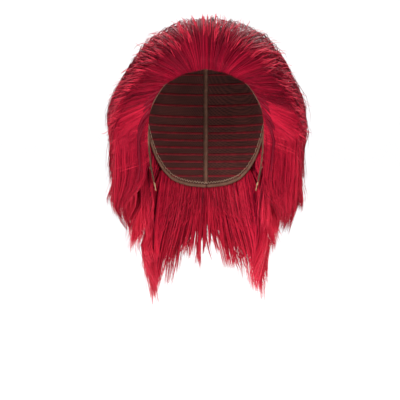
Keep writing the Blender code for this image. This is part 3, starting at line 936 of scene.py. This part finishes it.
def hookWays(turn, strap):
    # a flat ring that the strap runs through, and the wire hook below it
    hook = sewnForm["hook"]
    care = dict(strap, length=strap["length"] + hook["drop"])
    top = (strap["length"] + hook["gap"]) / care["length"]
    wide, high, low = hook["ringWide"], hook["ringTop"], hook["ringFoot"]
    ring = [(-wide, high), (wide, high), (wide, low), (-wide, low), (-wide, high)]
    angles = np.linspace(math.pi, 2.2 * math.pi, 12)
    turned = np.stack([np.cos(angles), np.sin(angles)], axis=-1)
    bend = np.array(hook["bendAt"]) + np.array(hook["bendSize"]) * turned
    for way in (ring, [(0.0, low), (0.0, hook["neck"]), *bend]):
        places = np.array(way)
        fine = np.linspace(0.0, len(places) - 1.0, 6 * len(places))
        across, down = (np.interp(fine, np.arange(len(places)), places[:, i]) for i in (0, 1))
        yield stripPoint(turn, care, across, mix(top, 1.0, down), hook["wire"])


def hornFinish():
    material, shader, place = newFinish("hornPlastic", Roughness=0.42)
    clouded = place.noise(240.0).colours((0.3, (0.36, 0.20, 0.10)), (0.7, (0.50, 0.31, 0.17)))
    feed(place.tree, shader.inputs["Base Color"], clouded)
    return material


horn = hornFinish()
thread = sewnForm["thread"]
tab, stay, strap = sewnForm["tab"], sewnForm["stay"], sewnForm["strap"]
loops, wire = sewnForm["loops"], sewnForm["hook"]["wire"]
for side, turn in (("Left", -1.0), ("Right", 1.0)):
    addPiece(sewnStrip("earTab" + side, turn, tab), tape, "ear_tab_" + side.lower())
    piece = flatTubes("tabStitches" + side, tabStitches(turn, tab), thread, thread)
    addPiece(piece, bindingCloth)
    share = np.linspace(stay["from"], stay["to"], 24)
    stayWay = stripPoint(turn, tab, 0.0, share, tab["wall"] + sewnForm["proud"])
    piece = flatTubes("tabStay" + side, [stayWay], stay["halfWidth"], stay["halfHeight"])
    addPiece(piece, bindingCloth)
    addPiece(sewnStrip("napeStrap" + side, turn, strap), elastic, "nape_strap_" + side.lower())
    piece = flatTubes("strapEdges" + side, strapEdges(turn, strap), 2 * thread, 2 * thread)
    addPiece(piece, elastic)
    piece = flatTubes("strapLoops" + side, strapLoops(turn, strap), loops["halfWidth"], loops["halfHeight"])
    addPiece(piece, tape)
    piece = flatTubes("wireHook" + side, hookWays(turn, strap), wire, wire, 8)
    addPiece(piece, horn, "strap_hook_" + side.lower())
print("cap and sewn parts made")


# floor, light and camera
stage = {
    "floor": -0.436,
    "flat": 3.0,
    "curve": [(3.6, 0.10), (4.2, 0.40), (4.65, 0.95), (4.9, 1.7), (5.0, 2.6), (5.0, 4.0)],
    "key": {"at": (-1.2, -2.4, 1.1), "size": 1.5, "power": 70.0},
    "fill": {"at": (1.6, -2.3, 0.3), "size": 1.6, "power": 32.0},
    "back": {"at": (0.2, 1.6, 1.9), "size": 1.4, "power": 45.0},
    "world": 1.0,
    "aim": (0.0, 0.0, -0.15),
}


def buildStage():
    deselectAll()
    bpy.ops.mesh.primitive_circle_add(vertices=96, radius=stage["flat"], fill_type="NGON",
                                      location=(0.0, 0.0, stage["floor"]))
    bowl = bpy.context.object
    bowl.name = "paleBowl"
    bpy.ops.object.transform_apply(location=True, rotation=False, scale=False)
    bpy.ops.object.mode_set(mode="EDIT")
    bpy.ops.mesh.select_all(action="SELECT")
    bpy.ops.mesh.flip_normals()
    bpy.ops.mesh.select_mode(type="EDGE")
    bpy.ops.mesh.select_all(action="DESELECT")
    bpy.ops.mesh.select_non_manifold()
    radius, height = stage["flat"], 0.0
    for outer, up in stage["curve"]:
        bpy.ops.mesh.extrude_edges_move()
        bpy.ops.transform.resize(value=(outer / radius, outer / radius, 1.0),
                                 center_override=(0.0, 0.0, stage["floor"] + height))
        bpy.ops.transform.translate(value=(0.0, 0.0, up - height))
        radius, height = outer, up
    bpy.ops.object.mode_set(mode="OBJECT")
    bpy.ops.object.shade_smooth()
    material, shader, place = newFinish("paleFloor", Roughness=0.9)
    tint = place.noise(1.5).colours((0.3, (0.86, 0.86, 0.87)), (0.7, (0.88, 0.88, 0.88)))
    feed(place.tree, shader.inputs["Base Color"], tint)
    bowl.data.materials.append(material)


def addLight(name, care, aim):
    lamp = bpy.data.lights.new(name, "AREA")
    lamp.size = care["size"]
    lamp.energy = care["power"]
    obj = bpy.data.objects.new(name, lamp)
    obj.location = care["at"]
    obj.rotation_euler = (Vector(aim) - Vector(care["at"])).to_track_quat("-Z", "Y").to_euler()
    bpy.context.collection.objects.link(obj)


buildStage()
for name in ("key", "fill", "back"):
    addLight(name, stage[name], stage["aim"])
world = bpy.data.worlds.new("softStudio")
world.use_nodes = True
world.node_tree.nodes["Background"].inputs[0].default_value = (1.0, 1.0, 1.0, 1.0)
world.node_tree.nodes["Background"].inputs[1].default_value = stage["world"]
bpy.context.scene.world = world
bpy.context.scene.view_settings.view_transform = "Standard"

view = {"at": (-0.0076, -2.4, -0.202), "lens": 170.0, "sensor": 36.0}
lens = bpy.data.cameras.new("photoView")
lens.sensor_width = view["sensor"]
lens.lens = view["lens"]
lens.clip_end = 50.0
camera = bpy.data.objects.new("photoView", lens)
camera.location = view["at"]
camera.rotation_euler = (math.radians(90.0), 0.0, 0.0)
bpy.context.collection.objects.link(camera)
bpy.context.scene.camera = camera
print("stage, lights and camera placed")
